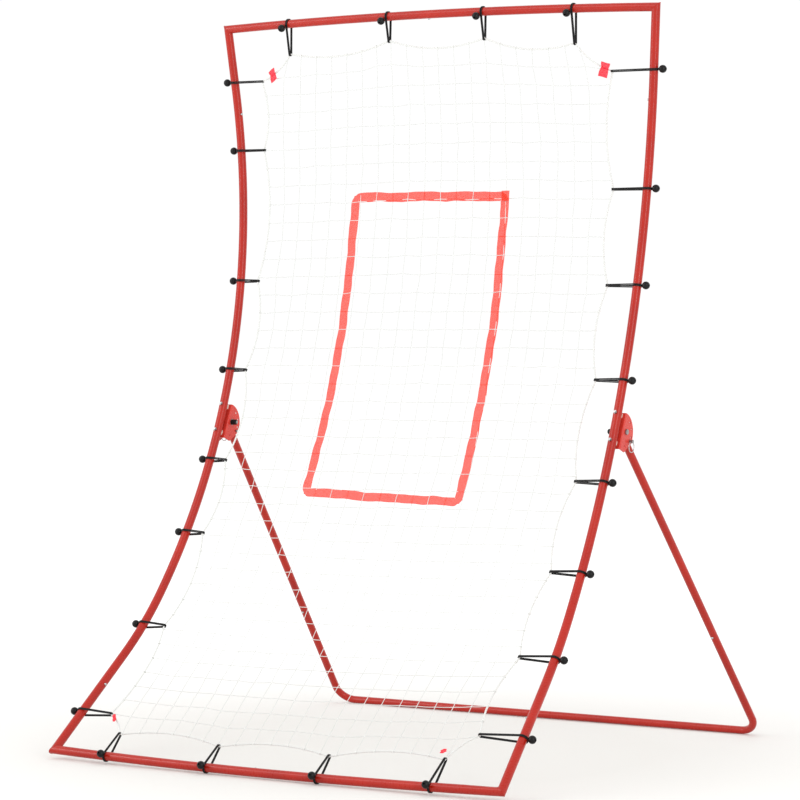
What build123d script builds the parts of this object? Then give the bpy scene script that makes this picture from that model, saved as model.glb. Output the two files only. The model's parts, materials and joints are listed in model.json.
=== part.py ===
from build123d import *
import os
from math import atan2, cos, degrees, hypot, pi, radians, sin, sqrt, tan

# Pitching target net: a curved, leaning tube frame with a square-mesh net
# hung inside it on ball bungees, propped by a U-shaped rear leg on two
# D-plate hinges.  Millimetres.  +X to the right seen from the pitcher,
# +Y back (away from the pitcher), +Z up, ground at z = 0.

# --- driving dimensions ------------------------------------------------
FRAME_WIDTH = 1278.0          # between the centre lines of the two sides
TUBE_D = 22.0                 # frame tube
TUBE_WALL = 1.2
LEG_D = 20.0                  # rear leg tube
SPIGOT_GAP = 0.15             # radial play of a swaged end in its socket
SPIGOT_LENGTH = 60.0
BUTTON_FROM_SEAM = 36.0

# side profile, from the bottom bar up: length, bend radius (0 is straight)
FOOT_LEAN = radians(49.65)    # lean back from vertical at the bottom bar
SIDE_RUNS = ((332.0, 0.0), (203.0, 990.0), (1411.0, 1836.0), (158.0, 0.0))
SIDE_LENGTH = sum(run[0] for run in SIDE_RUNS)
SIDE_TILT = radians(10.08)    # each side's plane leans in about its chord
TOP_RISE = 12.0               # the top bar is bowed up by this much
FOOT_DROP = 12.5              # and the bottom bar down

# stations are distances up the side from the bottom bar
SEAM_LOW = 262.0
SEAM_HINGE_LOW = 986.0
SEAM_HINGE_HIGH = 1128.0
SEAM_HIGH = 1840.0
BAR_SEAM_TOP = 15.0           # x of the joint in each bar
BAR_SEAM_FOOT = 0.0
BAR_SEAM_REAR = 22.0

# hinge bracket, in the plane of the side: n back from the tube, t up it
HINGE_STATION = 1050.0
PIVOT_N = 30.0
WEB_N = 13.5                  # front face of the bracket's web
PLATE = 2.5
BRACKET_HALF_W = 16.5
BRACKET_FOOT_T = -50.0
EAR_ARC_R = 48.0
EAR_ARC_N = 20.0
EAR_ARC_T = -4.0
EAR_KNEE_T = -18.0
EAR_TIP_N = 39.0
BRACKET_BOLT_T = (-36.0, 36.0)
BRACKET_BOLT_D = 6.0
PIVOT_BOLT_D = 8.0
INDEX_RADIUS = 31.0           # lock pin holes around the pivot
INDEX_ANGLES = (0.0, 23.0, 61.0, 98.0)
LOCK_PIN_D = 6.0
PIN_CLEARANCE = 0.05
RING_R = 13.5
RING_WIRE = 2.0

# rear leg
REAR_BAR_Y = 1338.0           # behind the bottom bar's ends
REAR_HALF_W = 652.0
REAR_BEND = 45.0
LEG_SEAM = 732.0              # from the pivot
LEG_END_R = 12.5
LEG_SPIGOT = 62.0

# net and its bungees
NET_THICKNESS = 3.0
NET_LEFT_X = -540.0
NET_RIGHT_X = 512.0
SCALLOP = 22.0                # sag of the net's edge between two bungees
ROPE_D = 4.0
CORD_D = 3.0
CORD_PITCH = 3.4
BALL_D = 20.0
STATIONS_LEFT = (130.0, 435.0, 720.0, 932.0, 1185.0, 1428.0, 1779.0, 1962.0)
STATIONS_RIGHT = (162.0, 412.0, 658.0, 905.0, 1172.0, 1414.0, 1656.0, 1951.0)
TOP_X = (-445.0, -136.0, 148.0, 409.0)
FOOT_X = (-477.0, -174.0, 144.0, 454.0)
NET_TOP_S = (2031.0, 2053.0, 2048.0, 2025.0)
NET_FOOT_S = (67.0, 57.0, 57.0, 79.0)
TARGET_X = (-268.0, 210.0)
TARGET_S = (830.0, 1659.0)
RIBBON_W = 25.0
RIBBON_T = 1.0

BELT_R = TUBE_D / 2 + CORD_D / 2 + 0.2      # of the elastic round the tube
HOOK_R = ROPE_D / 2 + CORD_D / 2 + 0.9      # and round the border rope
BALL_OUT = BELT_R + CORD_D / 2 + BALL_D / 2 + 0.2


def bow_out(x, bow):
    """How far a bar bowed by bow stands out at x."""
    half = FRAME_WIDTH / 2
    radius = (half ** 2 + bow ** 2) / (2 * bow)
    return sqrt(radius ** 2 - x ** 2) - radius + bow


# height of the bottom bar's ends: its bowed middle rests on the elastic
INNER_FOOT_X = min(abs(x) for x in FOOT_X)
FOOT_CORNER_Z = BELT_R + CORD_D / 2 + bow_out(INNER_FOOT_X, FOOT_DROP) * cos(FOOT_LEAN)
LEG_Z = LEG_D / 2
FRONT_REACH = 41.7            # the foot's balls stand this far ahead of its ends
ORIGIN_Y = (REAR_BAR_Y + LEG_D / 2 - FRONT_REACH) / 2


# --- the side's centre line -------------------------------------------
def flat_profile(station):
    """Place and lean of the side's bend, laid flat, at a station."""
    y = 0.0
    z = 0.0
    lean = FOOT_LEAN
    left = station
    for length, radius in SIDE_RUNS:
        run = min(left, length)
        if run <= 0.0:
            break
        if radius == 0.0:
            y += run * sin(lean)
            z += run * cos(lean)
        else:
            turn = run / radius
            y += radius * (cos(lean - turn) - cos(lean))
            z += radius * (sin(lean) - sin(lean - turn))
            lean -= turn
        left -= run
    return y, z, lean


TOP_Y, TOP_Z = flat_profile(SIDE_LENGTH)[:2]
CHORD_LEAN = atan2(TOP_Y, TOP_Z)


def tilt_in(y, z, side):
    """A flat vector of the bend, turned into the side's leaning plane."""
    along = y * sin(CHORD_LEAN) + z * cos(CHORD_LEAN)
    bulge = y * cos(CHORD_LEAN) - z * sin(CHORD_LEAN)
    back = bulge * cos(SIDE_TILT)
    return Vector(-side * bulge * sin(SIDE_TILT),
                  along * sin(CHORD_LEAN) + back * cos(CHORD_LEAN),
                  along * cos(CHORD_LEAN) - back * sin(CHORD_LEAN))


def side_point(station, side):
    y, z, _ = flat_profile(station)
    foot = Vector(side * FRAME_WIDTH / 2, -ORIGIN_Y, FOOT_CORNER_Z)
    return foot + tilt_in(y, z, side)


def side_tangent(station, side):
    lean = flat_profile(station)[2]
    return tilt_in(sin(lean), cos(lean), side)


def side_inward(side):
    """Towards the net, square to the side's plane."""
    across = side_tangent(0.0, side).cross(side_tangent(SIDE_LENGTH, side))
    across = across.normalized()
    return across if across.X * side < 0 else -across


def bar_point(x, station, bow):
    """A bar's centre line is an arc bowed by bow in the side's direction."""
    end = side_point(station, 1)
    way = side_tangent(station, 1)
    outward = Vector(0, way.Y, way.Z).normalized() * (1 if station > 0 else -1)
    return Vector(x, end.Y, end.Z) + outward * bow_out(x, bow)


def top_point(x):
    return bar_point(x, SIDE_LENGTH, TOP_RISE)


def foot_point(x):
    return bar_point(x, 0.0, FOOT_DROP)


# --- paths --------------------------------------------------------------
def side_path(low, high, side):
    """Straight runs and arcs of the side between two stations."""
    edges = []
    start = 0.0
    for length, radius in SIDE_RUNS:
        a = max(low, start)
        b = min(high, start + length)
        start += length
        if b - a < 0.01:
            continue
        first = side_point(a, side)
        last = side_point(b, side)
        if radius == 0.0:
            edges.append(Edge.make_line(first, last))
        else:
            middle = side_point((a + b) / 2, side)
            edges.append(Edge.make_three_point_arc(first, middle, last))
    return Wire(edges)


def bar_path(x_from, x_to, place):
    middle = place((x_from + x_to) / 2)
    return Wire([Edge.make_three_point_arc(place(x_from), middle, place(x_to))])


def swept(path, radius):
    start = Plane(origin=path @ 0, z_dir=path % 0)
    return sweep(start * Circle(radius), path=path)


def tube(path, outer_d, inner_d):
    return swept(path, outer_d / 2) - swept(path, inner_d / 2)


def extended(path, length):
    """The path with a straight run added before its start."""
    first = path @ 0
    before = first - (path % 0) * length
    return Wire([Edge.make_line(before, first)] + list(path.edges()))


def rod(start, end, diameter):
    way = end - start
    base = Plane(origin=start, z_dir=way)
    return base * extrude(Circle(diameter / 2), amount=way.length)


BORE_D = TUBE_D - 2 * TUBE_WALL
SPIGOT_D = BORE_D - 2 * SPIGOT_GAP
LEG_BORE_D = LEG_D - 2 * TUBE_WALL
LEG_SPIGOT_D = LEG_BORE_D - 2 * SPIGOT_GAP

nodes = {}


# --- snap buttons ---------------------------------------------------------
BUTTON_D = 6.8
BUTTON_HOLE_D = 7.4
BUTTON_PROUD = 3.0
BUTTON_FLANGE_D = 9.4
BUTTON_FLANGE_T = 1.4
BUTTON_TRAVEL = 3.0
button_sites = {}


def site(name, centre, way, inward, outer_d):
    """A snap button at a point of a tube's centre line, facing inward."""
    plane = Plane(origin=centre, x_dir=way, z_dir=inward)
    button_sites[name] = (plane, outer_d)
    return plane


def button_hole(plane, outer_d):
    return plane * extrude(Circle(BUTTON_HOLE_D / 2), amount=outer_d)


def flange_base(outer_d):
    """How far out the button's flange starts, resting on the spigot's bore."""
    spigot_bore = outer_d / 2 - 2 * TUBE_WALL - SPIGOT_GAP
    seat = sqrt(spigot_bore ** 2 - (BUTTON_FLANGE_D / 2) ** 2)
    return seat - BUTTON_FLANGE_T - 0.2


def snap_button(plane, outer_d):
    top = outer_d / 2 + BUTTON_PROUD
    base = flange_base(outer_d)
    shank = Pos(0, 0, base) * extrude(Circle(BUTTON_D / 2), amount=top - base)
    shank = fillet(shank.edges().group_by(Axis.Z)[-1], 2.0)
    flange = Pos(0, 0, base) * extrude(Circle(BUTTON_FLANGE_D / 2), amount=BUTTON_FLANGE_T)
    return plane * (shank + flange)


def button_spring(plane, outer_d):
    """The V-shaped leaf inside the tube, under its button."""
    spigot_bore = outer_d / 2 - 2 * TUBE_WALL - SPIGOT_GAP
    leaf = 0.8
    low = -spigot_bore + 1.1
    high = flange_base(outer_d) - BUTTON_TRAVEL - 0.3
    outline = Polyline((5.0, low), (-24.0, low), (-25.5, low + 1.6), (4.0, high),
                       (4.0, high - leaf), (-23.5, low + 1.2), (-22.8, low + leaf),
                       (5.0, low + leaf), close=True)
    strip = extrude(Plane.XZ * make_face(outline), amount=2.5, both=True)
    return plane * strip


site("upper_left", side_point(SEAM_HIGH + BUTTON_FROM_SEAM, -1),
     side_tangent(SEAM_HIGH, -1), side_inward(-1), TUBE_D)
site("upper_right", side_point(SEAM_HIGH + BUTTON_FROM_SEAM, 1),
     side_tangent(SEAM_HIGH, 1), side_inward(1), TUBE_D)
site("lower_left", side_point(SEAM_LOW - BUTTON_FROM_SEAM, -1),
     -side_tangent(SEAM_LOW, -1), side_inward(-1), TUBE_D)
site("lower_right", side_point(SEAM_LOW - BUTTON_FROM_SEAM, 1),
     -side_tangent(SEAM_LOW, 1), side_inward(1), TUBE_D)


def bar_way(place, x):
    return (place(x - 1.0) - place(x + 1.0)).normalized()


def bar_inward(station, sense):
    way = side_tangent(station, 1)
    return Vector(0, way.Y, way.Z).normalized() * sense


TOP_BUTTON_X = BAR_SEAM_TOP - BUTTON_FROM_SEAM + 8.0
FOOT_BUTTON_X = BAR_SEAM_FOOT - BUTTON_FROM_SEAM
site("top_bar", top_point(TOP_BUTTON_X), bar_way(top_point, TOP_BUTTON_X),
     bar_inward(SIDE_LENGTH, -1), TUBE_D)
site("bottom_bar", foot_point(FOOT_BUTTON_X), bar_way(foot_point, FOOT_BUTTON_X),
     bar_inward(0.0, 1), TUBE_D)


# --- frame tubes -----------------------------------------------------------
CORNER_STUB = 30.0            # overlong ends that the mitre trims
BEAD_PROUD = 0.4
BEAD_HALF_W = 0.3


def mitred_arms(side_run, bar_run, diameter):
    """Two solid rods that start at one corner, each cut on the mitre."""
    mitre = Plane(origin=side_run @ 0, z_dir=(side_run % 0) - (bar_run % 0))
    side_arm = swept(extended(side_run, CORNER_STUB), diameter / 2)
    bar_arm = swept(extended(bar_run, CORNER_STUB), diameter / 2)
    side_arm = split(side_arm, bisect_by=mitre, keep=Keep.TOP).solid()
    bar_arm = split(bar_arm, bisect_by=mitre, keep=Keep.BOTTOM).solid()
    return side_arm, bar_arm


def corner_bead(side_run, bar_run):
    """The ground weld that stands a little proud all round the mitre."""
    way = side_run % 0
    across = bar_run % 0
    slant = 1 / sin(radians(way.get_angle(across)) / 2)
    mitre = Plane(origin=side_run @ 0, x_dir=way + across, z_dir=way - across)
    outer = TUBE_D / 2 + BEAD_PROUD
    inner = BORE_D / 2 - BEAD_PROUD
    ring = Ellipse(outer * slant, outer) - Ellipse(inner * slant, inner)
    return extrude(mitre * ring, amount=BEAD_HALF_W, both=True)


def corner_piece(side_run, bar_run, bar_spigot):
    side_arm, bar_arm = mitred_arms(side_run, bar_run, TUBE_D)
    side_bore, bar_bore = mitred_arms(side_run, bar_run, BORE_D)
    bead = corner_bead(side_run, bar_run)
    piece = (Part() + side_arm - side_bore) + bead + (Part() + bar_arm - bar_bore)
    if bar_spigot is not None:
        piece += tube(bar_spigot, SPIGOT_D, SPIGOT_D - 2 * TUBE_WALL)
        piece += tube_shoulder(bar_spigot, TUBE_D, SPIGOT_D)
    return piece


def tube_shoulder(spigot, outer_d, inner_d):
    """The short swaged neck that joins a spigot to its tube."""
    first = spigot @ 0
    back = first - (spigot % 0) * 3.0
    return rod(back, first, outer_d - 0.02) - rod(back, first, inner_d - 2 * TUBE_WALL)


def side_run_down(high, low, side):
    """A side's path that starts at its upper station and runs down."""
    return reversed_wire(side_path(low, high, side))


def reversed_wire(path):
    edges = []
    for edge in reversed(path.edges()):
        if edge.geom_type == GeomType.LINE:
            edges.append(Edge.make_line(edge @ 1, edge @ 0))
        else:
            edges.append(Edge.make_three_point_arc(edge @ 1, edge @ 0.5, edge @ 0))
    return Wire(edges)


HALF = FRAME_WIDTH / 2
for side, hand in ((-1, "left"), (1, "right")):
    end_x = side * HALF
    top_side = side_run_down(SIDE_LENGTH, SEAM_HIGH, side)
    top_bar = bar_path(end_x, BAR_SEAM_TOP, top_point)
    foot_side = side_path(0.0, SEAM_LOW, side)
    foot_bar = bar_path(end_x, BAR_SEAM_FOOT, foot_point)
    top_spigot = None
    foot_spigot = None
    if side > 0:
        top_spigot = bar_path(BAR_SEAM_TOP, BAR_SEAM_TOP - SPIGOT_LENGTH, top_point)
        foot_spigot = bar_path(BAR_SEAM_FOOT, BAR_SEAM_FOOT - SPIGOT_LENGTH, foot_point)
    top_corner = corner_piece(top_side, top_bar, top_spigot)
    foot_corner = corner_piece(foot_side, foot_bar, foot_spigot)
    high_hole = button_hole(*button_sites["upper_" + hand])
    low_hole = button_hole(*button_sites["lower_" + hand])
    nodes["top_corner_" + hand] = (top_corner - high_hole
                                   - button_hole(*button_sites["top_bar"]))
    nodes["bottom_corner_" + hand] = (foot_corner - low_hole
                                      - button_hole(*button_sites["bottom_bar"]))

    upper = tube(side_path(SEAM_HINGE_HIGH, SEAM_HIGH, side), TUBE_D, BORE_D)
    lower = tube(side_path(SEAM_LOW, SEAM_HINGE_LOW, side), TUBE_D, BORE_D)
    upper_spigots = (side_path(SEAM_HIGH, SEAM_HIGH + SPIGOT_LENGTH, side),
                     side_run_down(SEAM_HINGE_HIGH, SEAM_HINGE_HIGH - SPIGOT_LENGTH, side))
    lower_spigots = (side_path(SEAM_HINGE_LOW, SEAM_HINGE_LOW + SPIGOT_LENGTH, side),
                     side_run_down(SEAM_LOW, SEAM_LOW - SPIGOT_LENGTH, side))
    for spigot in upper_spigots:
        upper += tube(spigot, SPIGOT_D, SPIGOT_D - 2 * TUBE_WALL)
        upper += tube_shoulder(spigot, TUBE_D, SPIGOT_D)
    for spigot in lower_spigots:
        lower += tube(spigot, SPIGOT_D, SPIGOT_D - 2 * TUBE_WALL)
        lower += tube_shoulder(spigot, TUBE_D, SPIGOT_D)
    middle = tube(side_path(SEAM_HINGE_LOW, SEAM_HINGE_HIGH, side), TUBE_D, BORE_D)

    # two bolts run through the tube, square to it, and hold the bracket
    for t in BRACKET_BOLT_T:
        way = Vector(0, cos(CHORD_LEAN), -sin(CHORD_LEAN))
        centre = side_point(HINGE_STATION + t, side)
        hole = rod(centre - way * TUBE_D, centre + way * TUBE_D, BRACKET_BOLT_D + 0.4)
        upper -= hole
        lower -= hole
        middle -= hole
    nodes["upper_side_" + hand] = upper - high_hole
    nodes["lower_side_" + hand] = lower - low_hole
    nodes["hinge_tube_" + hand] = middle


# --- hinges ------------------------------------------------------------------
# each hinge has its own plane: local x is n, local y is t, local z is +X
def hinge_plane(side):
    centre = side_point(HINGE_STATION, side)
    back = Vector(0, cos(CHORD_LEAN), -sin(CHORD_LEAN))
    up = Vector(0, sin(CHORD_LEAN), cos(CHORD_LEAN))
    return Plane(origin=centre, x_dir=back, z_dir=back.cross(up))


PIVOT = hinge_plane(1).from_local_coords((PIVOT_N, 0, 0))
REAR_CORNER = Vector(REAR_HALF_W, REAR_BAR_Y - ORIGIN_Y, LEG_Z)
leg_drop = REAR_CORNER - Vector(PIVOT.X, PIVOT.Y, PIVOT.Z)
LEG_ANGLE = degrees(atan2(leg_drop.Z, leg_drop.Y))      # from +Y, downwards
PLANE_ANGLE = degrees(-CHORD_LEAN)                      # of +n from +Y


def index_place(angle):
    """Centre of a lock pin hole in the hinge plane's n and t."""
    turn = radians(LEG_ANGLE - PLANE_ANGLE + angle)
    return PIVOT_N + INDEX_RADIUS * cos(turn), INDEX_RADIUS * sin(turn)


def across_rod(n, t, low, high, diameter):
    """A rod along local z of the hinge plane."""
    return Pos(n, t, low) * extrude(Circle(diameter / 2), amount=high - low)


def outwards(side, low, high):
    """A span of local z, given for the right side, turned for either side."""
    return (low, high) if side > 0 else (-high, -low)


def inner_end(side):
    """Which end of a sorted list along local z faces the net."""
    return 0 if side > 0 else -1


def hinge_bracket():
    """A U-channel with two D-shaped ears, in the hinge plane."""
    top_t = EAR_ARC_T + sqrt(EAR_ARC_R ** 2 - (WEB_N - EAR_ARC_N) ** 2)
    knee_n = EAR_ARC_N + sqrt(EAR_ARC_R ** 2 - (EAR_KNEE_T - EAR_ARC_T) ** 2)
    shoulder = radians(25.0)
    mid = (EAR_ARC_N + EAR_ARC_R * cos(shoulder), EAR_ARC_T + EAR_ARC_R * sin(shoulder))
    outline = [
        Line((WEB_N, BRACKET_FOOT_T), (WEB_N, top_t)),
        ThreePointArc((WEB_N, top_t), mid, (knee_n, EAR_KNEE_T)),
        Line((knee_n, EAR_KNEE_T), (EAR_TIP_N, BRACKET_FOOT_T)),
        Line((EAR_TIP_N, BRACKET_FOOT_T), (WEB_N, BRACKET_FOOT_T)),
    ]
    block = extrude(make_face(outline), amount=BRACKET_HALF_W, both=True)
    block = fillet(block.edges().filter_by(Axis.Y).group_by(Axis.X)[0], 3.2)
    room = Box(EAR_ARC_R * 2, EAR_ARC_R * 4, 2 * (BRACKET_HALF_W - PLATE))
    channel = block - Pos(WEB_N + PLATE + EAR_ARC_R, 0, 0) * room
    pivot_hole = across_rod(PIVOT_N, 0, -30, 30, PIVOT_BOLT_D + 0.1)
    channel -= pivot_hole
    for angle in INDEX_ANGLES:
        n, t = index_place(angle)
        channel -= across_rod(n, t, -30, 30, LOCK_PIN_D + 2 * PIN_CLEARANCE)
    for t in BRACKET_BOLT_T:
        bolt_way = Plane(origin=(0, t, 0), z_dir=(1, 0, 0))
        channel -= bolt_way * extrude(Circle(BRACKET_BOLT_D / 2 + 0.2), amount=30)
    # a round rivet hole near the ear's tip
    channel -= across_rod(EAR_TIP_N - 4.0, EAR_KNEE_T - 17.0, -30, 30, 4.0)
    return channel


bracket = hinge_bracket()
BOLT_END_N = -17.5
LOCK_HEAD_D = 9.0
LOCK_HEAD_T = 9.0
LOCK_TAIL = 5.0
KNOB_D = 14.0
KNOB_LENGTH = 14.0
WASHER_T = 1.2
HEAD_T = 4.0
NUT_R = 4.6
NUT_T = 3.4
bolts = []
spacers = []
nuts = []
washers = []
bushes = []
hinge_frames = {}
for side, hand in ((-1, "left"), (1, "right")):
    plane = hinge_plane(side)
    hinge_frames[hand] = plane
    nodes["hinge_bracket_" + hand] = plane * bracket
    for t in BRACKET_BOLT_T:
        centre = plane.to_local_coords(side_point(HINGE_STATION + t, side))
        shift = centre.X
        along = Plane(origin=(0, t, 0), x_dir=(0, 1, 0), z_dir=(1, 0, 0))
        inside = WEB_N + PLATE
        shank = Pos(0, 0, BOLT_END_N) * extrude(Circle(BRACKET_BOLT_D / 2),
                                                amount=inside - BOLT_END_N + 1.0)
        head = Pos(0, 0, inside) * extrude(Circle(5.0), amount=2.4)
        head = fillet(head.edges().group_by(Axis.Z)[-1], 1.6)
        bolts.append(plane * along * (shank + head))
        seat = Pos(0, 0, 1.0) * extrude(Rectangle(14.0, 14.0), amount=WEB_N - 1.0)
        seat = fillet(seat.edges().filter_by(Axis.Z), 4.0)
        clearance = Pos(0, 0, 0) * extrude(Circle(BRACKET_BOLT_D / 2 + 0.2), amount=WEB_N)
        saddle = plane * along * (seat - clearance)
        spacers.append(saddle - swept(side_path(HINGE_STATION + t - 30,
                                                HINGE_STATION + t + 30, side),
                                      TUBE_D / 2 + 0.05))
        nut_from = shift - TUBE_D / 2 - 0.3
        nut = Pos(0, 0, nut_from - NUT_T) * extrude(RegularPolygon(NUT_R, 6), amount=NUT_T)
        nut -= Pos(0, 0, -40) * extrude(Circle(BRACKET_BOLT_D / 2 + 0.02), amount=40)
        nuts.append(plane * along * nut)

    # pivot bolt: head outside, clamp knob inside
    ear = BRACKET_HALF_W
    span = ear + WASHER_T + KNOB_LENGTH + 2.0
    stem = across_rod(PIVOT_N, 0, *outwards(side, -span, ear + 0.5), PIVOT_BOLT_D)
    head_low = outwards(side, ear, ear + HEAD_T)[0]
    cap = Pos(PIVOT_N, 0, head_low) * extrude(RegularPolygon(7.2, 6), amount=HEAD_T)
    nodes["pivot_bolt_" + hand] = plane * (stem + cap)
    washer_low = outwards(side, -ear - WASHER_T, -ear)[0]
    washer = across_rod(PIVOT_N, 0, washer_low, washer_low + WASHER_T, 16.0)
    washers.append(plane * (washer - across_rod(PIVOT_N, 0, -40, 40, PIVOT_BOLT_D + 0.1)))
    knob_end = -ear - WASHER_T - 0.3
    knob_low = outwards(side, knob_end - KNOB_LENGTH, knob_end)[0]
    knob = across_rod(PIVOT_N, 0, knob_low, knob_low + KNOB_LENGTH, KNOB_D)
    knob = fillet(knob.edges().group_by(Axis.Z)[inner_end(side)], 2.0)
    for step in range(12):
        groove = radians(step * 30.0)
        n = PIVOT_N + (KNOB_D / 2 + 0.5) * cos(groove)
        t = (KNOB_D / 2 + 0.5) * sin(groove)
        knob -= across_rod(n, t, -60, 60, 2.4)
    knob -= across_rod(PIVOT_N, 0, -60, 60, PIVOT_BOLT_D + 0.1)
    nodes["clamp_knob_" + hand] = plane * knob

    # lock pin: head and pull ring outside
    n, t = index_place(0.0)
    pin = across_rod(n, t, *outwards(side, -ear - LOCK_TAIL, ear + 0.5), LOCK_PIN_D)
    pin = chamfer(pin.edges().group_by(Axis.Z)[inner_end(side)], 1.0)
    grip_low = outwards(side, ear + 0.3, ear + 0.3 + LOCK_HEAD_T)[0]
    grip = across_rod(n, t, grip_low, grip_low + LOCK_HEAD_T, LOCK_HEAD_D)
    grip_mid = grip_low + LOCK_HEAD_T / 2
    ring_top = plane.from_local_coords((n, t, grip_mid))
    bore = rod(ring_top - Vector(0, 20, 0), ring_top + Vector(0, 20, 0), RING_WIRE * 2)
    nodes["lock_pin_" + hand] = plane * (pin + grip) - bore
    ring_centre = ring_top - Vector(0, 0, RING_R)
    ring = Plane(origin=ring_centre, z_dir=(1, 0, 0)) * Torus(RING_R, RING_WIRE / 2)
    nodes["pin_ring_" + hand] = ring
    hinge_frames[hand + "_ring"] = ring_top

nodes["bracket_bolts"] = Compound(children=[b.solid() for b in bolts])
nodes["bracket_spacers"] = Compound(children=[s.solid() for s in spacers])
nodes["bracket_nuts"] = Compound(children=[n.solid() for n in nuts])
nodes["pivot_washers"] = Compound(children=[w.solid() for w in washers])


# --- rear leg -----------------------------------------------------------------
def leg_points(side):
    top = Vector(side * PIVOT.X, PIVOT.Y, PIVOT.Z)
    corner = Vector(side * REAR_HALF_W, REAR_CORNER.Y, REAR_CORNER.Z)
    seam = Vector(BAR_SEAM_REAR, REAR_CORNER.Y, REAR_CORNER.Z)
    return top, corner, seam


leg_springs = []
for side, hand in ((-1, "left"), (1, "right")):
    top, corner, bar_seam = leg_points(side)
    way = (corner - top).normalized()
    joint = top + way * LEG_SEAM
    front = way.cross(Vector(1, 0, 0))
    front = front.normalized() if front.Y < 0 else -front.normalized()
    site("leg_" + hand, joint - way * BUTTON_FROM_SEAM, -way, front, LEG_D)
    start = top - way * (LEG_END_R + 4.0)
    upper = rod(start, joint, LEG_D) - rod(start, joint, LEG_BORE_D)

    # rounded end, cross bush and the open slot that the lock pin seats in
    plane = hinge_frames[hand]
    leg_turn = LEG_ANGLE - PLANE_ANGLE
    slotted = plane * Pos(PIVOT_N, 0, 0) * Rot(0, 0, leg_turn)
    end_box = slotted * Pos(-20, 0, 0) * Box(40, 60, 60)
    end_round = slotted * extrude(Circle(LEG_END_R), amount=30, both=True)
    upper = upper - (end_box - end_round)
    bush_hole = slotted * extrude(Circle(6.0), amount=30, both=True)
    upper -= bush_hole
    slot_d = LOCK_PIN_D + 0.8
    groove = Circle(INDEX_RADIUS + slot_d / 2) - Circle(INDEX_RADIUS - slot_d / 2)
    groove &= Polygon((0, 0), (80, 0), (80, 80), align=None)
    groove += Pos(INDEX_RADIUS, 0, 0) * Circle(slot_d / 2)
    slot = slotted * extrude(groove, amount=30, both=True)
    upper -= slot
    hole = button_hole(*button_sites["leg_" + hand])
    nodes["leg_upper_" + hand] = upper - hole
    bush = slotted * extrude(Circle(6.0) - Circle(PIVOT_BOLT_D / 2 + PIN_CLEARANCE),
                             amount=LEG_D / 2 + 1.5, both=True)
    bushes.append(bush)

    path = FilletPolyline(joint, corner, bar_seam, radius=REAR_BEND)
    lower = tube(Wire(path.edges()), LEG_D, LEG_BORE_D)
    spigots = [Wire([Edge.make_line(joint, joint - way * LEG_SPIGOT)])]
    if side > 0:
        inner_end = bar_seam - Vector(LEG_SPIGOT, 0, 0)
        spigots.append(Wire([Edge.make_line(bar_seam, inner_end)]))
    for spigot in spigots:
        lower += tube(spigot, LEG_SPIGOT_D, LEG_SPIGOT_D - 2 * TUBE_WALL)
        lower += tube_shoulder(spigot, LEG_D, LEG_SPIGOT_D)
    nodes["leg_corner_" + hand] = lower - hole

rear_button = Vector(BAR_SEAM_REAR - BUTTON_FROM_SEAM, REAR_CORNER.Y, REAR_CORNER.Z)
site("rear_bar", rear_button, Vector(-1, 0, 0), Vector(0, -1, 0), LEG_D)
for hand in ("left", "right"):
    nodes["leg_corner_" + hand] -= button_hole(*button_sites["rear_bar"])
nodes["leg_pivot_bushes"] = Compound(children=[b.solid() for b in bushes])

frame_springs = []
for name, (plane, outer_d) in button_sites.items():
    nodes["snap_button_" + name] = snap_button(plane, outer_d)
    spring = button_spring(plane, outer_d).solid()
    if outer_d == TUBE_D:
        frame_springs.append(spring)
    else:
        leg_springs.append(spring)
nodes["snap_springs_frame"] = Compound(children=frame_springs)
nodes["snap_springs_leg"] = Compound(children=leg_springs)


# --- net, rope, target and tags ---------------------------------------------
def net_point(x, station):
    """A point of the net, which is level from side to side."""
    place = side_point(station, 1)
    return Vector(x, place.Y, place.Z)


def sheet_path():
    edges = side_path(20.0, SIDE_LENGTH - 20.0, 1).edges()
    flat = []
    for edge in edges:
        ends = [edge @ 0, edge @ 0.5, edge @ 1]
        flat_ends = [Vector(0, p.Y, p.Z) for p in ends]
        if edge.geom_type == GeomType.LINE:
            flat.append(Edge.make_line(flat_ends[0], flat_ends[2]))
        else:
            flat.append(Edge.make_three_point_arc(*flat_ends))
    return Wire(flat)


def curved_sheet(thickness, ahead):
    """A sheet that follows the side's bend, ahead of the net's middle."""
    path = sheet_path()
    start = Plane(origin=path @ 0, x_dir=(1, 0, 0), z_dir=path % 0)
    front = 1 if start.y_dir.Y < 0 else -1
    section = start * Pos(0, front * ahead, 0) * Rectangle(FRAME_WIDTH, thickness)
    return sweep(section, path=path)


def prism(face):
    """A face drawn in x and z, pushed right through along Y."""
    return extrude(Plane.XZ * face, amount=3000, both=True)


def hooks(inset):
    """The net's 24 hooks in order round its edge, from the bottom left up."""
    left = [(NET_LEFT_X + inset, s) for s in STATIONS_LEFT]
    top = [(x, s - inset) for x, s in zip(TOP_X, NET_TOP_S)]
    right = [(NET_RIGHT_X - inset, s) for s in reversed(STATIONS_RIGHT)]
    foot = [(x, s + inset) for x, s in zip(reversed(FOOT_X), reversed(NET_FOOT_S))]
    return left + top + right + foot


def scallop_middle(first, second):
    """The point half way between two hooks, drawn in towards the net."""
    x = (first[0] + second[0]) / 2
    s = (first[1] + second[1]) / 2
    run = hypot(second[0] - first[0], second[1] - first[1])
    normal = ((second[1] - first[1]) / run, -(second[0] - first[0]) / run)
    sag = SCALLOP * min(1.0, run / 250.0)
    return x + normal[0] * sag, s + normal[1] * sag


def net_outline():
    ring = hooks(NET_INSET)
    edges = []
    for first, second in zip(ring, ring[1:] + ring[:1]):
        middle = scallop_middle(first, second)
        spots = []
        for x, s in (first, middle, second):
            spots.append((x, net_point(x, s).Z))
        edges.append(ThreePointArc(*spots))
    return make_face(edges)


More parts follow.
